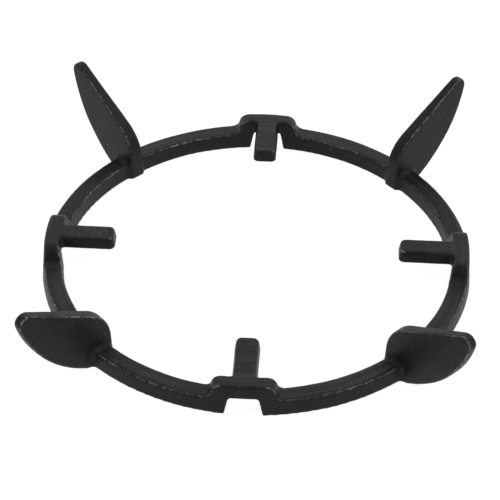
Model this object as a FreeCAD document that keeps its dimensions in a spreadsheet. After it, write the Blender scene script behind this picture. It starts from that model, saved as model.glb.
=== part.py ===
"""Cast-iron wok ring: one casting with a ring, four bridges, four tongues and four fins.

Frame: the origin is the ring's axis on its underside, +Z up. The tongues lie along X and Y,
and the fins that carry the wok stand on the diagonals. Millimetres and degrees.
"""
import FreeCAD, Part
import math
import os
import Sketcher
from FreeCAD import Placement, Rotation, Vector

SIZES = {
    # ring
    "outer_radius": 120.0,
    "base_width": 11.9,
    "ring_height": 9.8,
    "wall_draft": 5.3,
    # bridges over the notches
    "bridge_height": 18.8,
    "bridge_top_length": 31.4,
    "shoulder_angle": 74.0,
    "shoulder_radius": 5.8,
    "bridge_foot_radius": 4.8,
    # notches under the bridges
    "notch_base_width": 20.4,
    "notch_roof_width": 15.6,
    "notch_height": 11.2,
    "notch_corner_radius": 2.0,
    # tongues that point to the axis: their length from the foot of the ring's inner wall, and the
    # step from the notch's roof up to their underside
    "tongue_length": 29.0,
    "tongue_width": 13.7,
    "tongue_step": 0.4,
    "tongue_draft": 8.5,
    "tongue_corner_radius": 3.0,
    "tongue_root_radius": 2.0,
    # fins that carry the wok, measured from the foot of the ring's inner and outer wall
    "fin_inner_step": 2.3,
    "fin_end_draft": 2.3,
    "fin_shoulder_height": 26.8,
    "contact_slope": 30.5,
    "fin_overhang": 43.4,
    "fin_foot_step": 3.2,
    "belly_radius": 74.8,
    "fin_base_thickness": 9.8,
    "fin_draft": 2.3,
    "fin_shoulder_radius": 21.5,
    "fin_tip_radius": 5.0,
    "fin_edge_radius": 1.3,
    "fin_root_radius": 3.0,
    # edges of ring, bridges and tongues
    "top_edge_radius": 1.5,
    "tongue_under_radius": 0.8,
    "base_edge_radius": 0.8,
    # how far a cut reaches past what it cuts
    "cut_margin": 3.0,
}

NODE = "wok_ring"
# share of a bridge's slope that the round at its top or at its foot may take
SLOPE_SHARE = 0.49
COPIES = 4
DIAGONAL = 45.0
NEAR = 0.02


class Sizes:
    """The driving sizes by name, as the sheet holds them."""

    def __init__(self, doc):
        self.sheet = doc.addObject("Spreadsheet::Sheet", "sizes")
        for row, (name, value) in enumerate(SIZES.items(), start=1):
            self.sheet.set(f"A{row}", name)
            self.sheet.set(f"B{row}", str(value))
            self.sheet.setAlias(f"B{row}", name)
        doc.recompute()

    def __getattr__(self, name):
        return float(self.sheet.get(name))

    @property
    def inner_radius(self):
        return self.outer_radius - self.base_width

    @property
    def tongue_underside(self):
        return self.notch_height + self.tongue_step

    @property
    def tongue_end(self):
        return self.inner_radius - self.tongue_length


def slope(degrees):
    """Run of a drafted wall for each unit of height."""
    return math.tan(math.radians(degrees))


def origin_part(body, role):
    """A plane or an axis of the body's own origin."""
    for item in body.Origin.OriginFeatures:
        if item.Role == role:
            return item
    raise ValueError(role)


def new_sketch(body, name, role, lift=None):
    """A sketch on an origin plane of the body, lifted where an expression is given."""
    sketch = body.newObject("Sketcher::SketchObject", name)
    sketch.AttachmentSupport = [(origin_part(body, role), "")]
    sketch.MapMode = "FlatFace"
    if lift:
        sketch.setExpression("AttachmentOffset.Base.z", lift)
    return sketch


def closed_outline(sketch, points, level=(), upright=()):
    """Straight lines through the points and back, some of them held level or upright."""
    count = len(points)
    first = sketch.GeometryCount
    for index in range(count):
        start = Vector(*points[index], 0)
        end = Vector(*points[(index + 1) % count], 0)
        sketch.addGeometry(Part.LineSegment(start, end), False)
    for index in range(count):
        following = (index + 1) % count
        sketch.addConstraint(Sketcher.Constraint("Coincident", first + index, 2, first + following, 1))
    for index in level:
        sketch.addConstraint(Sketcher.Constraint("Horizontal", index))
    for index in upright:
        sketch.addConstraint(Sketcher.Constraint("Vertical", index))


def mirrored(sketch, left, right):
    """The starts of two lines, held symmetric about the sketch's upright axis."""
    sketch.addConstraint(Sketcher.Constraint("Symmetric", left, 1, right, 1, -2))


def on_axis(sketch, line, end):
    """An end of a line, held on the sketch's level axis."""
    sketch.addConstraint(Sketcher.Constraint("PointOnObject", line, end, -1))


def dimension(sketch, name, kind, references, value, expression):
    """A named dimension, bound to the sheet."""
    sketch.addConstraint(Sketcher.Constraint(kind, *references, value))
    sketch.renameConstraint(sketch.ConstraintCount - 1, name)
    sketch.setExpression(f"Constraints.{name}", expression)


def ring_section(body, s):
    """Section of the band that ring and bridges are cut from, with drafted walls."""
    sketch = new_sketch(body, "ring_section", "XZ_Plane")
    outer = s.outer_radius
    inner = s.inner_radius
    tall = s.bridge_height + s.cut_margin
    lean = tall * slope(s.wall_draft)
    closed_outline(sketch, [(inner, 0), (outer, 0), (outer - lean, tall), (inner + lean, tall)],
                   level=(0, 2))
    on_axis(sketch, 0, 1)
    turn = math.radians(90 + s.wall_draft)
    dimension(sketch, "outer", "DistanceX", (-1, 1, 0, 2), outer, "sizes.outer_radius")
    dimension(sketch, "width", "DistanceX", (0, 1, 0, 2), s.base_width, "sizes.base_width")
    dimension(sketch, "tall", "DistanceY", (0, 2, 1, 2), tall, "sizes.bridge_height + sizes.cut_margin")
    dimension(sketch, "outer_lean", "Angle", (1,), turn, "90 deg + sizes.wall_draft * 1 deg")
    dimension(sketch, "inner_lean", "Angle", (3,), -turn, "-90 deg - sizes.wall_draft * 1 deg")
    return sketch


def skyline(body, s):
    """What is cut away above the ring and beside a bridge, seen along the bridge's radius."""
    sketch = new_sketch(body, "skyline", "XZ_Plane")
    low = s.ring_height
    high = s.bridge_height
    top = high + 2 * s.cut_margin
    half_top = s.bridge_top_length / 2
    half_foot = half_top + (high - low) / slope(s.shoulder_angle)
    reach = s.outer_radius * math.sin(math.radians(DIAGONAL)) + s.cut_margin
    closed_outline(sketch, [(-reach, low), (-half_foot, low), (-half_top, high), (half_top, high),
                            (half_foot, low), (reach, low), (reach, top), (-reach, top)],
                   level=(0, 4), upright=(5, 7))
    mirrored(sketch, 1, 4)
    mirrored(sketch, 2, 3)
    mirrored(sketch, 7, 6)
    dimension(sketch, "low", "DistanceY", (-1, 1, 0, 1), low, "sizes.ring_height")
    dimension(sketch, "high", "DistanceY", (-1, 1, 2, 1), high, "sizes.bridge_height")
    dimension(sketch, "top", "DistanceY", (-1, 1, 6, 1), top, "sizes.bridge_height + 2 * sizes.cut_margin")
    dimension(sketch, "bridge_top", "DistanceX", (2, 1, 2, 2), 2 * half_top, "sizes.bridge_top_length")
    dimension(sketch, "slope", "Angle", (1,), math.radians(s.shoulder_angle), "sizes.shoulder_angle * 1 deg")
    dimension(sketch, "reach", "DistanceX", (-1, 1, 5, 1), reach,
              f"sizes.outer_radius * sin({DIAGONAL} deg) + sizes.cut_margin")
    return sketch


def notch_outline(body, s):
    """The notch under a bridge, open at the underside and narrower at its roof."""
    sketch = new_sketch(body, "notch_outline", "XZ_Plane")
    half_base = s.notch_base_width / 2
    half_roof = s.notch_roof_width / 2
    roof = s.notch_height
    below = -s.cut_margin
    closed_outline(sketch, [(-half_base, 0), (-half_roof, roof), (half_roof, roof),
                            (half_base, 0), (half_base, below), (-half_base, below)],
                   upright=(3, 5))
    mirrored(sketch, 1, 2)
    mirrored(sketch, 5, 4)
    on_axis(sketch, 0, 1)
    on_axis(sketch, 3, 1)
    dimension(sketch, "base", "DistanceX", (0, 1, 3, 1), 2 * half_base, "sizes.notch_base_width")
    dimension(sketch, "roof_width", "DistanceX", (1, 1, 1, 2), 2 * half_roof, "sizes.notch_roof_width")
    dimension(sketch, "roof", "DistanceY", (-1, 1, 1, 1), roof, "sizes.notch_height")
    dimension(sketch, "below", "DistanceY", (4, 1, 3, 1), s.cut_margin, "sizes.cut_margin")
    return sketch


def tongue_outline(body, s):
    """Underside of a tongue, from the middle of its bridge to its end near the axis."""
    sketch = new_sketch(body, "tongue_outline", "XY_Plane", "sizes.notch_height + sizes.tongue_step")
    half = s.tongue_width / 2
    root = s.outer_radius - s.base_width / 2
    end = s.tongue_end
    closed_outline(sketch, [(-half, -root), (half, -root), (half, -end), (-half, -end)],
                   level=(2,), upright=(1, 3))
    mirrored(sketch, 0, 1)
    dimension(sketch, "width", "DistanceX", (0, 1, 0, 2), s.tongue_width, "sizes.tongue_width")
    dimension(sketch, "root", "DistanceY", (0, 1, -1, 1), root, "sizes.outer_radius - sizes.base_width / 2")
    dimension(sketch, "end", "DistanceY", (2, 1, -1, 1), end,
              "sizes.outer_radius - sizes.base_width - sizes.tongue_length")
    return sketch


def fin_corners(s):
    """Sharp corners of a fin's outline: inner foot, shoulder, tip and outer foot."""
    inner = s.inner_radius - s.fin_inner_step
    shoulder_x = inner + s.fin_shoulder_height * slope(s.fin_end_draft)
    tip = s.outer_radius + s.fin_overhang
    tip_height = s.fin_shoulder_height + (tip - shoulder_x) * slope(s.contact_slope)
    foot = s.outer_radius + s.fin_foot_step
    return (inner, 0), (shoulder_x, s.fin_shoulder_height), (tip, tip_height), (foot, 0)


def fin_outline(body, s):
    """Side view of a fin: upright inner end, straight wok seat, one arc from tip to foot."""
    sketch = new_sketch(body, "fin_outline", "XZ_Plane")
    inner, shoulder, tip, foot = (Vector(*corner, 0) for corner in fin_corners(s))
    half_chord = (tip - foot) / 2
    across = Vector(-half_chord.y, half_chord.x, 0).normalize()
    rise = math.sqrt(s.belly_radius ** 2 - half_chord.Length ** 2)
    centre = foot + half_chord + across * rise
    circle = Part.Circle(centre, Vector(0, 0, 1), s.belly_radius)
    foot_turn = math.atan2(foot.y - centre.y, foot.x - centre.x)
    tip_turn = math.atan2(tip.y - centre.y, tip.x - centre.x)
    inner_end = sketch.addGeometry(Part.LineSegment(inner, shoulder), False)
    seat = sketch.addGeometry(Part.LineSegment(shoulder, tip), False)
    belly = sketch.addGeometry(Part.ArcOfCircle(circle, foot_turn, tip_turn), False)
    base = sketch.addGeometry(Part.LineSegment(foot, inner), False)
    for first, first_end, second, second_end in ((inner_end, 2, seat, 1), (seat, 2, belly, 2),
                                                 (belly, 1, base, 1), (base, 2, inner_end, 1)):
        sketch.addConstraint(Sketcher.Constraint("Coincident", first, first_end, second, second_end))
    on_axis(sketch, base, 1)
    on_axis(sketch, base, 2)
    dimension(sketch, "inner", "DistanceX", (-1, 1, inner_end, 1), inner.x,
              "sizes.outer_radius - sizes.base_width - sizes.fin_inner_step")
    dimension(sketch, "foot", "DistanceX", (-1, 1, base, 1), foot.x,
              "sizes.outer_radius + sizes.fin_foot_step")
    dimension(sketch, "tip", "DistanceX", (-1, 1, seat, 2), tip.x,
              "sizes.outer_radius + sizes.fin_overhang")
    dimension(sketch, "shoulder", "DistanceY", (-1, 1, seat, 1), shoulder.y, "sizes.fin_shoulder_height")
    dimension(sketch, "belly", "Radius", (belly,), s.belly_radius, "sizes.belly_radius")
    dimension(sketch, "end_lean", "Angle", (inner_end,), math.radians(90 - s.fin_end_draft),
              "90 deg - sizes.fin_end_draft * 1 deg")
    dimension(sketch, "seat_slope", "Angle", (seat,), math.radians(s.contact_slope),
              "sizes.contact_slope * 1 deg")
    return sketch


def fin_sides(body, s):
    """End view of what is cut from a fin's two sides, so that it is thinner towards its top."""
    sketch = new_sketch(body, "fin_sides", "YZ_Plane")
    half = s.fin_base_thickness / 2
    tall = fin_corners(s)[2][1] + s.cut_margin
    lean = tall * slope(s.fin_draft)
    clear = half + s.cut_margin
    right = [(half, 0), (half - lean, tall), (clear, tall), (clear, 0)]
    left = [(-x, y) for x, y in right]
    closed_outline(sketch, right, level=(1,), upright=(2,))
    closed_outline(sketch, left)
    for index in range(len(right)):
        mirrored(sketch, index, index + len(right))
    on_axis(sketch, 0, 1)
    on_axis(sketch, 3, 1)
    dimension(sketch, "half_base", "DistanceX", (-1, 1, 0, 1), half, "sizes.fin_base_thickness / 2")
    dimension(sketch, "clear", "DistanceX", (-1, 1, 3, 1), clear,
              "sizes.fin_base_thickness / 2 + sizes.cut_margin")
    dimension(sketch, "lean", "Angle", (0,), math.radians(90 + s.fin_draft),
              "90 deg + sizes.fin_draft * 1 deg")
    dimension(sketch, "tall", "DistanceY", (-1, 1, 1, 1), tall,
              "sizes.fin_shoulder_height + sizes.cut_margin + tan(sizes.contact_slope * 1 deg)"
              " * (sizes.fin_overhang + sizes.base_width + sizes.fin_inner_step"
              " - sizes.fin_shoulder_height * tan(sizes.fin_end_draft * 1 deg))")
    return sketch


def add_revolution(body, name, sketch):
    """A full turn of the sketch about the body's Z axis."""
    feature = body.newObject("PartDesign::Revolution", name)
    feature.Profile = sketch
    feature.ReferenceAxis = (origin_part(body, "Z_Axis"), [""])
    feature.Angle = 360.0
    return feature


def add_pocket(body, name, sketch):
    """A cut from the sketch outwards to -Y, right through the band."""
    feature = body.newObject("PartDesign::Pocket", name)
    feature.Profile = sketch
    feature.Type = "ThroughAll"
    feature.Reversed = True
    return feature


def add_turns(body, name, originals):
    """Copies of features on the four sides, or of the whole body where none is named."""
    feature = body.newObject("PartDesign::PolarPattern", name)
    if originals:
        feature.Originals = originals
    else:
        feature.TransformMode = "Whole shape"
    feature.Axis = (origin_part(body, "Z_Axis"), [""])
    feature.Angle = 360.0
    feature.Occurrences = COPIES
    body.Tip = feature
    return feature


def add_fillet(body, name, base, edges, alias, limit=None):
    """Rounds the named edges of the last feature, by a radius from the sheet and at most the limit."""
    if not edges:
        raise ValueError(f"{name}: no edges found")
    feature = body.newObject("PartDesign::Fillet", name)
    feature.Base = (base, edges)
    feature.setExpression("Radius", f"min(sizes.{alias}; {limit})" if limit else f"sizes.{alias}")
    return feature


def middle(edge):
    """The point halfway along an edge."""
    return edge.valueAt((edge.FirstParameter + edge.LastParameter) / 2)


def edges_where(shape, test):
    """Names of the edges that pass a test."""
    return [f"Edge{index}" for index, edge in enumerate(shape.Edges, start=1) if test(edge)]


def outward_normals(shape, edge):
    """Outward normals, at the edge's middle, of the faces that meet there."""
    point = middle(edge)
    normals = []
    for face in shape.ancestorsOfType(edge, Part.Face):
        u, v = face.Surface.parameter(point)
        normals.append(face.normalAt(u, v))
    return normals


def is_wall(normal):
    """True of a face that stands up, drafted or not."""
    return abs(normal.z) < 0.3


def side_distances(point):
    """Distances of a point from the axis along and across the side that it lies nearest to."""
    along = max(abs(point.x), abs(point.y))
    across = min(abs(point.x), abs(point.y))
    return along, across


def build_ring(doc, s):
    """Ring, bridges, notches and tongues."""
    body = doc.addObject("PartDesign::Body", NODE)
    add_revolution(body, "band", ring_section(body, s))
    gap = add_pocket(body, "gap_between_bridges", skyline(body, s))
    notch = add_pocket(body, "notch", notch_outline(body, s))
    sides = add_turns(body, "four_bridges", [gap, notch])
    doc.recompute()

    half_top = s.bridge_top_length / 2
    half_foot = half_top + (s.bridge_height - s.ring_height) / slope(s.shoulder_angle)

    def crosses_band(edge, height, distance):
        point = middle(edge)
        along, across = side_distances(point)
        return abs(point.z - height) < NEAR and abs(across - distance) < NEAR and edge.Length < s.base_width

    limit = (f"{SLOPE_SHARE} * (sizes.bridge_height - sizes.ring_height)"
             " / (1 - cos(sizes.shoulder_angle * 1 deg))")
    shoulders = edges_where(sides.Shape, lambda e: crosses_band(e, s.bridge_height, half_top))
    last = add_fillet(body, "bridge_shoulders", sides, shoulders, "shoulder_radius", limit)
    doc.recompute()
    feet = edges_where(last.Shape, lambda e: crosses_band(e, s.ring_height, half_foot))
    last = add_fillet(body, "bridge_feet", last, feet, "bridge_foot_radius", limit)
    doc.recompute()
    roofs = edges_where(last.Shape, lambda e: crosses_band(e, s.notch_height, s.notch_roof_width / 2))
    add_fillet(body, "notch_corners", last, roofs, "notch_corner_radius")
    doc.recompute()

    tongue = body.newObject("PartDesign::Pad", "tongue")
    tongue.Profile = tongue_outline(body, s)
    tongue.setExpression("Length", "sizes.bridge_height - sizes.notch_height - sizes.tongue_step")
    tongue.setExpression("TaperAngle", "-sizes.tongue_draft * 1 deg")
    last = add_turns(body, "four_tongues", [tongue])
    doc.recompute()

    underside = s.tongue_underside

    def stands_on_tongue(edge):
        low, high = edge.BoundBox.ZMin, edge.BoundBox.ZMax
        return abs(low - underside) < NEAR and abs(high - s.bridge_height) < NEAR

    def at_tongue_end(edge):
        along = side_distances(middle(edge))[0]
        return stands_on_tongue(edge) and along < s.tongue_end + s.tongue_width

    ends = edges_where(last.Shape, at_tongue_end)
    last = add_fillet(body, "tongue_corners", last, ends, "tongue_corner_radius")
    doc.recompute()
    root_start = s.inner_radius - s.tongue_root_radius

    def at_tongue_root(edge):
        point = middle(edge)
        return stands_on_tongue(edge) and math.hypot(point.x, point.y) > root_start

    roots = edges_where(last.Shape, at_tongue_root)
    last = add_fillet(body, "tongue_roots", last, roots, "tongue_root_radius")
    doc.recompute()

    def is_top_edge(edge):
        if middle(edge).z < s.ring_height - NEAR:
            return False
        normals = outward_normals(last.Shape, edge)
        upper = [n for n in normals if n.z > 0.4]
        walls = [n for n in normals if is_wall(n)]
        return len(upper) == 1 and len(walls) == 1

    tops = edges_where(last.Shape, is_top_edge)
    last = add_fillet(body, "top_edges", last, tops, "top_edge_radius")
    doc.recompute()

    def is_tongue_under_edge(edge):
        point = middle(edge)
        return (abs(point.z - underside) < NEAR and edge.BoundBox.ZLength < NEAR
                and any(n.z < -0.9 for n in outward_normals(last.Shape, edge))
                and math.hypot(point.x, point.y) < root_start)

    unders = edges_where(last.Shape, is_tongue_under_edge)
    add_fillet(body, "tongue_under_edges", last, unders, "tongue_under_radius")
    doc.recompute()
    return body


def build_fins(doc, s):
    """Four fins on the diagonals: drafted plates with rounded outlines and rims."""
    body = doc.addObject("PartDesign::Body", "fins")
    body.Placement = Placement(Vector(0, 0, 0), Rotation(Vector(0, 0, 1), DIAGONAL))
    plate = body.newObject("PartDesign::Pad", "fin_plate")
    plate.Profile = fin_outline(body, s)
    plate.SideType = "Symmetric"
    plate.setExpression("Length", "sizes.fin_base_thickness")
    doc.recompute()

    sides = body.newObject("PartDesign::Pocket", "fin_draft")
    sides.Profile = fin_sides(body, s)
    sides.Type = "ThroughAll"
    sides.Reversed = True
    doc.recompute()

    shoulder, tip = fin_corners(s)[1:3]

    def crosses_plate(edge, corner):
        point = middle(edge)
        return abs(point.x - corner[0]) < NEAR and abs(point.z - corner[1]) < NEAR and abs(point.y) < NEAR

    last = add_fillet(body, "fin_shoulder", sides,
                      edges_where(sides.Shape, lambda e: crosses_plate(e, shoulder)), "fin_shoulder_radius")
    doc.recompute()
    last = add_fillet(body, "fin_tip", last,
                      edges_where(last.Shape, lambda e: crosses_plate(e, tip)), "fin_tip_radius")
    doc.recompute()
    rim = edges_where(last.Shape, lambda e: abs(middle(e).y) > 1 and middle(e).z > NEAR)
    add_fillet(body, "fin_rim", last, rim, "fin_edge_radius")
    add_turns(body, "four_fins", None)
    doc.recompute()
    return body


def join_fins(doc, body, fins, s):
    """Joins the fins to the ring and rounds the corners between them and the edges it stands on."""
    joined = body.newObject("PartDesign::Boolean", "ring_with_fins")
    joined.setObjects([fins])
    joined.Type = "Fuse"
    doc.recompute()

    def is_root(edge):
        point = middle(edge)
        distance = math.hypot(point.x, point.y)
        if not s.inner_radius - NEAR < distance < s.outer_radius + NEAR:
            return False
        if point.z > s.ring_height + NEAR:
            return False
        if edge.BoundBox.ZMax < NEAR or abs(abs(point.x) - abs(point.y)) > s.fin_base_thickness:
            return False
        across = Vector(-point.y, point.x, 0).normalize()
        sides = [n for n in outward_normals(joined.Shape, edge) if abs(n.dot(across)) > 0.95]
        return len(sides) == 1

    last = add_fillet(body, "fin_roots", joined, edges_where(joined.Shape, is_root), "fin_root_radius")
    doc.recompute()
    base = edges_where(last.Shape, lambda e: e.BoundBox.ZMax < NEAR)
    add_fillet(body, "base_edges", last, base, "base_edge_radius")
    doc.recompute()


def check(doc, body):
    """Stops the build where a feature failed or the casting isn't one sound solid."""
    for item in doc.Objects:
        if "Invalid" in item.State or "Error" in item.State:
            raise ValueError(f"{item.Name}: {item.State}")
        if not item.isDerivedFrom("PartDesign::Feature") and item != body:
            continue
        if item.Shape.isNull() or not item.Shape.isValid():
            raise ValueError(f"{item.Name}: no sound shape")
    if len(body.Shape.Solids) != 1:
        raise ValueError(f"{body.Name}: {len(body.Shape.Solids)} solids")


def main():
    doc = FreeCAD.newDocument(NODE)
    s = Sizes(doc)
    body = build_ring(doc, s)
    fins = build_fins(doc, s)
    join_fins(doc, body, fins, s)
    body.Label = NODE
    doc.recompute()
    check(doc, body)
    os.makedirs("parts", exist_ok=True)
    body.Shape.exportStep(f"parts/{NODE}.step")


main()
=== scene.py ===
"""Looks of the cast-iron wok ring: one black casting on a white floor, seen from above the front.

Frame: the origin is the ring's axis on its underside, +Z up, in metres. The tongues lie along X
and Y, and the fins stand on the diagonals.
"""
import math

import bmesh
import bpy
import numpy as np
from mathutils import Matrix, Vector, noise

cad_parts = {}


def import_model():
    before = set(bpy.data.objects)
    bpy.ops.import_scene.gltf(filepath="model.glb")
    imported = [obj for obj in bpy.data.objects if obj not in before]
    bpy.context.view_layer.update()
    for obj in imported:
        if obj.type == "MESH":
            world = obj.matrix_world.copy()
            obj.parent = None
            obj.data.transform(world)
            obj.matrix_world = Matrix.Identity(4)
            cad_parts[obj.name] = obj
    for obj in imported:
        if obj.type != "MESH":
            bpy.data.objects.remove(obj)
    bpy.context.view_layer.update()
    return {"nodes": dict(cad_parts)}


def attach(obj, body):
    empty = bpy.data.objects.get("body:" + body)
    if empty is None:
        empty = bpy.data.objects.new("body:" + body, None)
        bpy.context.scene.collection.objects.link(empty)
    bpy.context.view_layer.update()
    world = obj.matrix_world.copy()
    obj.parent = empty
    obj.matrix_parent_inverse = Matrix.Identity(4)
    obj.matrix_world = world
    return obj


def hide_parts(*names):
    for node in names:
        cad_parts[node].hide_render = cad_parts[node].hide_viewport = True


MM = 0.001

# the photograph's camera: where it stands round the ring, and where the ring's origin falls in view
VIEW_AZIMUTH = 3.178
VIEW_ELEVATION = 40.370
VIEW_ROLL = -0.464
EYE_DISTANCE = 1056.74 * MM
ORIGIN_RIGHT = 3.662 * MM
ORIGIN_DOWN = 8.106 * MM
LENS = 134.92
SENSOR = 36.0
CLIP_START = 0.05
CLIP_END = 20

# the casting's skin; the lift gives back what the smoothing takes from the edges
WELD_REACH = 0.002 * MM
SKIN_STEP = 0.52 * MM
SKIN_SMOOTHING = 1
SKIN_TRIANGLES = 180000
SKIN_LIFT = 0.04 * MM
WAVE_SIZE = 19 * MM
WAVE_DEPTH = 0.13 * MM
GRAIN_SIZE = 3.1 * MM
GRAIN_DEPTH = 0.06 * MM

# where the skin counts as a rounded outer edge, and how its middle line is found
RIDGE_RADIUS = 1.3 * MM
RIDGE_BLUR = 2
RIDGE_LEAST = 0.22
CREST_STEPS = 5
CREST_LEAST = 0.55 * MM

# the iron's noises: scale per metre, detail and roughness
BLOTCH = (60, 5, 0.55)
COARSE = (260, 4, 0.6)
SAND = (900, 3, 0.7)
PITS = (400, 3, 0.5)
LINES = (400, 2, 0.45)
WEAR_AND_HIGHLIGHT_STRETCHES = (38, 2, 0.5)
WEAR_AND_HIGHLIGHT_BREAKS = (420, 3, 0.6)
LINE_STRETCH = 0.004

# the iron's tones as sRGB levels, with the range of each pattern and how far its tone covers
HOLLOW_LEVEL = 10
BODY_LEVEL = 24
BODY_RANGE = (0.32, 0.68)
SAND_LEVEL = 43
SAND_RANGE = (0.42, 0.68)
SAND_SHARE = 0.6
# the lines round the axis drawn lighter: a painted highlight along them
LINE_AND_HIGHLIGHT_LEVEL = 56
LINE_RANGE = (0.50, 0.64)
LINE_SHARE = 0.35
SPECK_LEVEL = 84
SPECK_RANGE = (0.67, 0.74)
SPECK_SHARE = 0.4
# the rounded edges drawn lighter: partly worn iron, partly a painted highlight along the rims
WORN_AND_HIGHLIGHT_LEVEL = 120
WORN_AND_HIGHLIGHT_SHARE = 0.8
BLUE_TINT = 1.01

# where the lines and their painted highlight show, by how far a face looks up, and how the edge
# wear with its painted highlight is made up
UPWARD_RANGE = (0.6, 0.95)
BRIGHT_RANGE = (0.36, 0.58)
BRIGHT_SHARE = 0.75
FAINT_RANGE = (0.25, 0.7)
FAINT_SHARE = 0.25
CREST_RANGE = (0.42, 0.82)

ROUGHNESS = 0.38
BLOTCH_ROUGHNESS = 0.16
WEAR_POLISH = 0.12
SPECULAR_LEVEL = 0.18
IRON_IOR = 1.5
BUMP_DISTANCE = 0.45 * MM
SAND_HEIGHT = 0.45
COARSE_HEIGHT = 0.5
LINE_HEIGHT = 0.4

WHITE = (1.0, 1.0, 1.0, 1.0)

# the studio's soft light: strengths towards back, left, front and right at each height in degrees
SKY_SIDES = ((0, 1), (-1, 0), (0, -1), (1, 0))
SKY_RINGS = {
    0: (0.99, 0.38, 0.36, 0.86),
    20: (1.53, 0.51, 0.47, 1.24),
    45: (1.14, 0.94, 0.75, 1.32),
    90: (1.07,),
}

# the floor: the paint that lights the object from below, and how deep its shadow looks
FLOOR_SIZE = 40.0
FLOOR_PAINT = 0.6
FLOOR_SHADE = 0.12

# guards against dividing by nothing
SHORTEST_EDGE = 1e-7
LEAST_WEIGHT = 1e-9
LEAST_SQUARE = 1e-6


def linear(level):
    """Linear value of an sRGB level from 0 to 255."""
    c = level / 255
    return c / 12.92 if c <= 0.04045 else ((c + 0.055) / 1.055) ** 2.4


def iron_grey(level):
    """The near neutral colour of the iron at an sRGB level."""
    value = linear(level)
    return (value, value, value * BLUE_TINT, 1.0)


def neutral(value):
    return (value, value, value, 1.0)


def add_camera():
    """The camera, from its place round the ring and where the ring's origin falls in view."""
    azimuth = math.radians(VIEW_AZIMUTH)
    elevation = math.radians(VIEW_ELEVATION)
    roll = math.radians(VIEW_ROLL)
    back = Vector((math.sin(azimuth) * math.cos(elevation),
                   -math.cos(azimuth) * math.cos(elevation),
                   math.sin(elevation)))
    level_right = (-back).cross(Vector((0, 0, 1))).normalized()
    level_down = (-back).cross(level_right)
    right = math.cos(roll) * level_right + math.sin(roll) * level_down
    down = -math.sin(roll) * level_right + math.cos(roll) * level_down
    eye = back * EYE_DISTANCE - right * ORIGIN_RIGHT - down * ORIGIN_DOWN

    data = bpy.data.cameras.new("camera")
    data.type = "PERSP"
    data.sensor_width = SENSOR
    data.lens = LENS
    data.clip_start = CLIP_START
    data.clip_end = CLIP_END
    camera = bpy.data.objects.new("camera", data)
    bpy.context.scene.collection.objects.link(camera)
    turn = Matrix((right, -down, back)).transposed()
    camera.matrix_world = Matrix.Translation(eye) @ turn.to_4x4()
    bpy.context.scene.camera = camera


class Nodes:
    """Short ways to add nodes to one tree."""

    def __init__(self, tree):
        self.tree = tree
        self.tree.nodes.clear()

    def node(self, kind, links=None, **settings):
        """A node with its settings; links go to its inputs, from sockets or plain values."""
        item = self.tree.nodes.new(kind)
        for key, value in settings.items():
            setattr(item, key, value)
        for key, value in (links or {}).items():
            self.put(item.inputs[key], value)
        return item

    def put(self, socket, value):
        """Feeds an input from a socket or sets it to a value."""
        if isinstance(value, bpy.types.NodeSocket):
            self.tree.links.new(value, socket)
        else:
            socket.default_value = value

    def math(self, operation, first, second=0.0, clamp=False):
        item = self.node("ShaderNodeMath", operation=operation, use_clamp=clamp)
        self.put(item.inputs[0], first)
        self.put(item.inputs[1], second)
        return item.outputs[0]

    def scaled(self, value, factor):
        return self.math("MULTIPLY", value, factor)

    def noise(self, where, kind):
        """A noise of one kind: its scale, detail and roughness."""
        scale, detail, roughness = kind
        links = {"Vector": where, "Scale": scale, "Detail": detail, "Roughness": roughness}
        return self.node("ShaderNodeTexNoise", links).outputs["Fac"]

    def ramp(self, factor, span):
        """0 below the span, 1 above it, smooth between."""
        links = {"Value": factor, "From Min": span[0], "From Max": span[1]}
        item = self.node("ShaderNodeMapRange", links, interpolation_type="SMOOTHSTEP")
        return item.outputs["Result"]

    def mix(self, factor, first, second):
        item = self.node("ShaderNodeMix", data_type="RGBA")
        self.put(item.inputs["Factor"], factor)
        self.put(item.inputs[6], first)
        self.put(item.inputs[7], second)
        return item.outputs[2]


def new_material(name):
    """An empty material and the ways to add its nodes."""
    material = bpy.data.materials.new(name)
    material.use_nodes = True
    return material, Nodes(material.node_tree)


def axis_lines(s, coords):
    """Faint lines round the axis on upward faces, as a turned pattern leaves them in the sand;
    their lighter tone is a painted highlight along them.
    """
    x, y, z = s.node("ShaderNodeSeparateXYZ", {"Vector": coords.outputs["Object"]}).outputs
    square = s.math("ADD", s.math("MULTIPLY", x, x), s.math("MULTIPLY", y, y))
    radius = s.math("SQRT", square)
    turn = s.scaled(s.math("ARCTAN2", y, x), LINE_STRETCH)
    polar = s.node("ShaderNodeCombineXYZ", {"X": radius, "Y": turn, "Z": z}).outputs["Vector"]
    facing = s.node("ShaderNodeSeparateXYZ", {"Vector": coords.outputs["Normal"]})
    upward = s.ramp(facing.outputs["Z"], UPWARD_RANGE)
    return s.math("MULTIPLY", s.noise(polar, LINES), upward)


def edge_wear_and_highlight(s, where):
    """Wear and a painted highlight along the middle of rounded edges: a faint line with brighter
    broken stretches.
    """
    crest = s.node("ShaderNodeAttribute", attribute_name="crest").outputs["Fac"]
    stretches = s.noise(where, WEAR_AND_HIGHLIGHT_STRETCHES)
    breaks = s.noise(where, WEAR_AND_HIGHLIGHT_BREAKS)
    bright = s.math("MULTIPLY", s.ramp(stretches, BRIGHT_RANGE), s.ramp(breaks, BRIGHT_RANGE))
    faint = s.ramp(breaks, FAINT_RANGE)
    wear_and_highlight = s.math("ADD", s.scaled(bright, BRIGHT_SHARE), s.scaled(faint, FAINT_SHARE))
    return s.math("MULTIPLY", wear_and_highlight, s.ramp(crest, CREST_RANGE))


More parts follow.
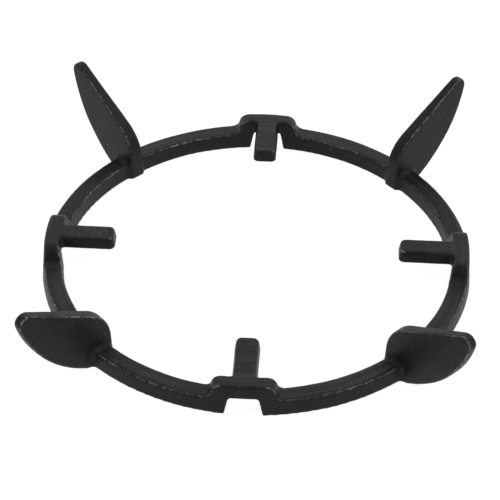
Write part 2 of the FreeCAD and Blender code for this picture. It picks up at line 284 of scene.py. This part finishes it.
def cast_iron():
    """Satin black cast iron: sand grain, soft blotches, faint lines with a painted highlight,
    specks, and worn edges with a painted highlight.
    """
    material, s = new_material("cast_iron")
    coords = s.node("ShaderNodeTexCoord")
    where = coords.outputs["Object"]
    lines = axis_lines(s, coords)
    wear_and_highlight = edge_wear_and_highlight(s, where)
    blotch = s.noise(where, BLOTCH)
    coarse = s.noise(where, COARSE)
    sand = s.noise(where, SAND)
    pits = s.noise(where, PITS)

    tone = s.mix(s.ramp(blotch, BODY_RANGE), iron_grey(HOLLOW_LEVEL), iron_grey(BODY_LEVEL))
    tone = s.mix(s.scaled(s.ramp(sand, SAND_RANGE), SAND_SHARE), tone, iron_grey(SAND_LEVEL))
    # the lines on upward faces lightened as a painted highlight
    tone = s.mix(s.scaled(s.ramp(lines, LINE_RANGE), LINE_SHARE), tone, iron_grey(LINE_AND_HIGHLIGHT_LEVEL))
    # the rounded edges lightened, for wear and as a painted highlight
    tone = s.mix(s.scaled(wear_and_highlight, WORN_AND_HIGHLIGHT_SHARE), tone, iron_grey(WORN_AND_HIGHLIGHT_LEVEL))
    tone = s.mix(s.scaled(s.ramp(pits, SPECK_RANGE), SPECK_SHARE), tone, iron_grey(SPECK_LEVEL))

    rough = s.math("ADD", ROUGHNESS, s.scaled(blotch, BLOTCH_ROUGHNESS))
    rough = s.math("SUBTRACT", rough, s.scaled(wear_and_highlight, WEAR_POLISH))

    height = s.math("ADD", s.scaled(sand, SAND_HEIGHT), s.scaled(coarse, COARSE_HEIGHT))
    height = s.math("ADD", height, s.scaled(lines, LINE_HEIGHT))
    links = {"Strength": 1.0, "Distance": BUMP_DISTANCE, "Height": height}
    bump = s.node("ShaderNodeBump", links)

    links = {"Base Color": tone, "Roughness": rough, "Normal": bump.outputs["Normal"],
             "Metallic": 0.0, "IOR": IRON_IOR, "Specular IOR Level": SPECULAR_LEVEL}
    surface = s.node("ShaderNodeBsdfPrincipled", links)
    s.node("ShaderNodeOutputMaterial", {"Surface": surface.outputs["BSDF"]})
    return material


def evaluated(skin):
    """The object's mesh with its modifiers applied, in place of the old one."""
    graph = bpy.context.evaluated_depsgraph_get()
    made = bpy.data.meshes.new_from_object(skin.evaluated_get(graph))
    old = skin.data
    skin.modifiers.clear()
    skin.data = made
    bpy.data.meshes.remove(old)
    return made


def triangles(mesh):
    """How many triangles the mesh's faces make."""
    return sum(len(p.vertices) - 2 for p in mesh.polygons)


def store_crests(mesh):
    """Keeps how near each point is to the middle of a rounded edge, from 0 on flat skin to 1."""
    count = len(mesh.vertices)
    place = np.empty(count * 3)
    mesh.vertices.foreach_get("co", place)
    place = place.reshape(-1, 3)
    normal = np.empty(count * 3)
    mesh.vertices.foreach_get("normal", normal)
    normal = normal.reshape(-1, 3)
    ends = np.empty(len(mesh.edges) * 2, dtype=np.int64)
    mesh.edges.foreach_get("vertices", ends)
    first, second = ends.reshape(-1, 2).T
    along = place[second] - place[first]
    length = np.maximum(np.linalg.norm(along, axis=1), SHORTEST_EDGE)
    bend = ((normal[second] - normal[first]) * along).sum(axis=1) / length ** 2
    total = np.zeros(count)
    weight = np.zeros(count)
    for end in (first, second):
        np.add.at(total, end, bend * length)
        np.add.at(weight, end, length)
    bend = total / np.maximum(weight, LEAST_WEIGHT)
    for _ in range(RIDGE_BLUR):
        total = np.zeros(count)
        weight = np.zeros(count)
        for end, other in ((first, second), (second, first)):
            np.add.at(total, end, bend[other])
            np.add.at(weight, end, 1.0)
        bend = (bend + total / np.maximum(weight, 1.0)) / 2
    bend = bend * RIDGE_RADIUS

    # how far each rounded point lies from flat skin, as a share of the farthest one near it
    rounded = bend > RIDGE_LEAST
    depth = np.where(rounded, 1.0, 0.0)
    for _ in range(CREST_STEPS):
        for end, other in ((first, second), (second, first)):
            reach = np.full(count, np.inf)
            np.minimum.at(reach, end, depth[other] + length)
            depth = np.where(rounded, np.minimum(depth, reach), 0.0)
    deepest = depth.copy()
    for _ in range(CREST_STEPS):
        for end, other in ((first, second), (second, first)):
            np.maximum.at(deepest, end, deepest[other])
    share = depth / np.maximum(deepest, LEAST_WEIGHT)
    share = np.where(deepest > CREST_LEAST, share, 0.0)
    crest = mesh.attributes.new("crest", "FLOAT", "POINT")
    crest.data.foreach_set("value", share)


def add_casting(node):
    """The casting's skin: the solid's own surface, slightly uneven as sand casting leaves it."""
    mesh = node.data.copy()
    mesh.materials.clear()
    skin = bpy.data.objects.new("casting_skin", mesh)
    bpy.context.scene.collection.objects.link(skin)
    weld = skin.modifiers.new("weld", "WELD")
    weld.merge_threshold = WELD_REACH
    remesh = skin.modifiers.new("remesh", "REMESH")
    remesh.mode = "VOXEL"
    remesh.voxel_size = SKIN_STEP
    smooth = skin.modifiers.new("smooth", "CORRECTIVE_SMOOTH")
    smooth.iterations = SKIN_SMOOTHING
    smooth.use_only_smooth = True
    made = evaluated(skin)

    normals = [v.normal.copy() for v in made.vertices]
    for vertex, normal in zip(made.vertices, normals):
        wave = noise.noise(vertex.co / WAVE_SIZE) * WAVE_DEPTH
        grain = noise.noise(vertex.co / GRAIN_SIZE) * GRAIN_DEPTH
        vertex.co += normal * (SKIN_LIFT + wave + grain)
    fewer = skin.modifiers.new("fewer", "DECIMATE")
    fewer.ratio = SKIN_TRIANGLES / triangles(made)
    made = evaluated(skin)
    made.name = "casting_skin"
    made.shade_smooth()
    store_crests(made)
    made.materials.append(cast_iron())
    print("skin", len(made.vertices), "vertices,", triangles(made), "triangles")
    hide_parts("wok_ring")
    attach(skin, "root")


def add_floor():
    """A plain floor, white to the camera and in reflections, where it keeps a faint shadow."""
    mesh = bpy.data.meshes.new("floor")
    shape = bmesh.new()
    bmesh.ops.create_grid(shape, x_segments=1, y_segments=1, size=FLOOR_SIZE / 2)
    shape.to_mesh(mesh)
    shape.free()
    floor = bpy.data.objects.new("floor", mesh)
    bpy.context.scene.collection.objects.link(floor)

    material, s = new_material("floor_white")
    path = s.node("ShaderNodeLightPath")
    seen = s.math("MAXIMUM", path.outputs["Is Camera Ray"], path.outputs["Is Glossy Ray"])
    seen = s.math("MAXIMUM", seen, path.outputs["Is Transmission Ray"])
    paint = s.node("ShaderNodeBsdfDiffuse", {"Color": neutral(FLOOR_PAINT)})
    shade = s.node("ShaderNodeBsdfDiffuse", {"Color": neutral(FLOOR_SHADE)})
    glow = s.node("ShaderNodeEmission", {"Color": WHITE, "Strength": 1.0 - FLOOR_SHADE / 2})
    white = s.node("ShaderNodeAddShader")
    s.put(white.inputs[0], shade.outputs[0])
    s.put(white.inputs[1], glow.outputs[0])
    blend = s.node("ShaderNodeMixShader", {"Fac": seen})
    s.put(blend.inputs[1], paint.outputs[0])
    s.put(blend.inputs[2], white.outputs[0])
    s.node("ShaderNodeOutputMaterial", {"Surface": blend.outputs[0]})
    mesh.materials.append(material)


def add_world():
    """A plain soft studio: a smooth sky, in rings given towards back, left, front and right."""
    world = bpy.data.worlds.new("studio")
    bpy.context.scene.world = world
    world.use_nodes = True
    s = Nodes(world.node_tree)
    direction = s.node("ShaderNodeTexCoord").outputs["Generated"]
    x, y, z = s.node("ShaderNodeSeparateXYZ", {"Vector": direction}).outputs
    square = s.math("SUBTRACT", 1.0, s.math("MULTIPLY", z, z))
    flat = s.math("SQRT", s.math("MAXIMUM", square, LEAST_SQUARE))
    elevation = s.scaled(s.math("ARCSINE", z), 180 / math.pi)

    total = 0.0
    rings = list(SKY_RINGS.items())
    for index, (height, strengths) in enumerate(rings):
        ring = 1.0
        if index > 0:
            below = rings[index - 1][0]
            rise = s.math("SUBTRACT", elevation, below)
            ring = s.math("DIVIDE", rise, height - below, clamp=True)
        if index < len(rings) - 1:
            above = rings[index + 1][0]
            fade = s.math("SUBTRACT", above, elevation)
            fade = s.math("DIVIDE", fade, above - height, clamp=True)
            ring = s.math("MINIMUM", ring, fade)
        if len(strengths) == 1:
            # the zenith, the same on all sides
            total = s.math("ADD", total, s.math("MULTIPLY", ring, strengths[0]))
            continue
        for (side_x, side_y), strength in zip(SKY_SIDES, strengths):
            across = s.math("ADD", s.scaled(x, side_x), s.scaled(y, side_y))
            across = s.math("MAXIMUM", s.math("DIVIDE", across, flat), 0.0)
            lobe = s.math("MULTIPLY", s.math("MULTIPLY", across, across), strength)
            total = s.math("ADD", total, s.math("MULTIPLY", ring, lobe))
    sky = s.node("ShaderNodeBackground", {"Color": WHITE, "Strength": total})
    s.node("ShaderNodeOutputWorld", {"Surface": sky.outputs["Background"]})


def main():
    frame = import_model()
    bpy.context.scene.view_settings.view_transform = "Standard"
    add_camera()
    add_world()
    add_floor()
    add_casting(frame["nodes"]["wok_ring"])


main()
